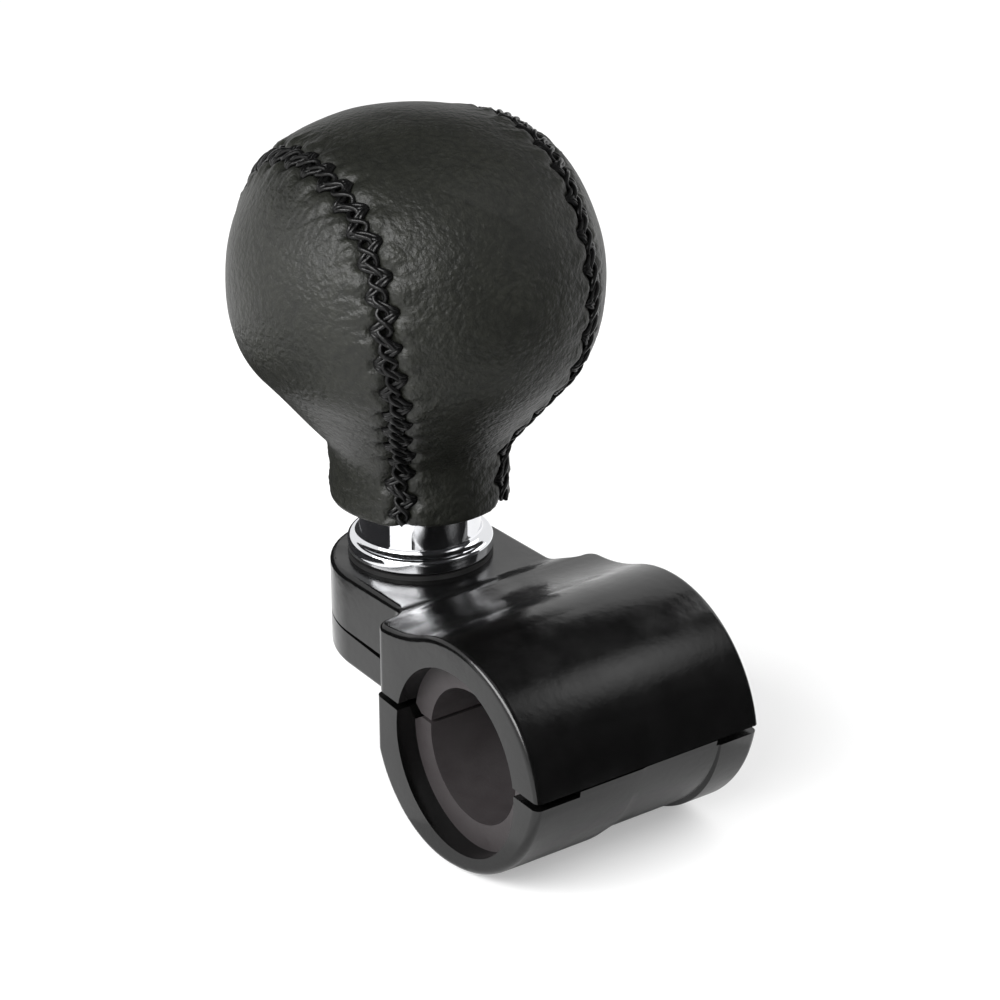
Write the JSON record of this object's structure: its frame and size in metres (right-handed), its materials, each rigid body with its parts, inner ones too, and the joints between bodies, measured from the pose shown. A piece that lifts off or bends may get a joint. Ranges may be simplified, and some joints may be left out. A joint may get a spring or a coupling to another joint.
{
  "type": "steering wheel spinner knob",
  "caption": "Leather covered ball knob on a chrome bearing sleeve, standing on a black lever clamp that grips the tube of a steering wheel rim.",
  "frame": {"origin": "on the axis of the rim bore, at the middle of its length", "axes": "+Z along the knob's spindle, towards the ball; +Y along the rim bore; the spindle stands on the -X side"},
  "size_m": [0.088, 0.0584, 0.1053],
  "materials": {
    "casting_black": "gloss black enamel on a zinc casting",
    "liner_rubber": "matt dark brownish grey, moulded",
    "chrome": "bright chrome plate",
    "washer_black": "matt black nylon",
    "screw_steel": "black oxide steel",
    "plain_steel": "bright zinc plated or ground steel",
    "cage_nylon": "natural nylon",
    "core_plastic": "moulded black plastic under the leather",
    "leather": "black grained leather, soft sheen",
    "thread": "waxed black thread"
  },
  "bodies": {
    "base": {"clamp_body": "casting_black", "clamp_jaw": "casting_black", "upper_liner": "liner_rubber", "lower_liner": "liner_rubber", "clamp_screws": "screw_steel", "screw_washers": "screw_steel", "spindle": "plain_steel", "spindle_nut": "plain_steel", "spindle_lock_washer": "plain_steel", "dust_washer": "washer_black", "inner_spacer": "plain_steel", "spindle_clip": "plain_steel", "lower_bearing_inner_race": "plain_steel", "upper_bearing_inner_race": "plain_steel"},
    "knob": {"chrome_sleeve": "chrome", "outer_spacer": "plain_steel", "sleeve_clip": "plain_steel", "knob_core": "core_plastic", "leather_centre_panel": "leather", "leather_left_panel": "leather", "leather_right_panel": "leather", "left_seam_lacing": "thread", "right_seam_lacing": "thread", "lower_bearing_outer_race": "plain_steel", "lower_bearing_shields": "plain_steel", "upper_bearing_outer_race": "plain_steel", "upper_bearing_shields": "plain_steel"},
    "lower_ball_train": {"lower_bearing_balls": "plain_steel", "lower_bearing_cage": "cage_nylon"},
    "upper_ball_train": {"upper_bearing_balls": "plain_steel", "upper_bearing_cage": "cage_nylon"}
  },
  "joints": [
    {"name": "knob_spin", "type": "hinge", "parent": "base", "child": "knob", "pos_m": [-0.0379, 0, 0.05], "axis": [0, 0, 1], "continuous": true},
    {"name": "lower_ball_train_turn", "type": "hinge", "parent": "base", "child": "lower_ball_train", "pos_m": [-0.0379, 0, 0.05], "axis": [0, 0, 1], "continuous": true},
    {"name": "upper_ball_train_turn", "type": "hinge", "parent": "base", "child": "upper_ball_train", "pos_m": [-0.0379, 0, 0.05], "axis": [0, 0, 1], "continuous": true}
  ],
  "couplings": [
    {"joint": "lower_ball_train_turn", "follows": "knob_spin", "ratio": 0.59917},
    {"joint": "upper_ball_train_turn", "follows": "knob_spin", "ratio": 0.59917}
  ]
}
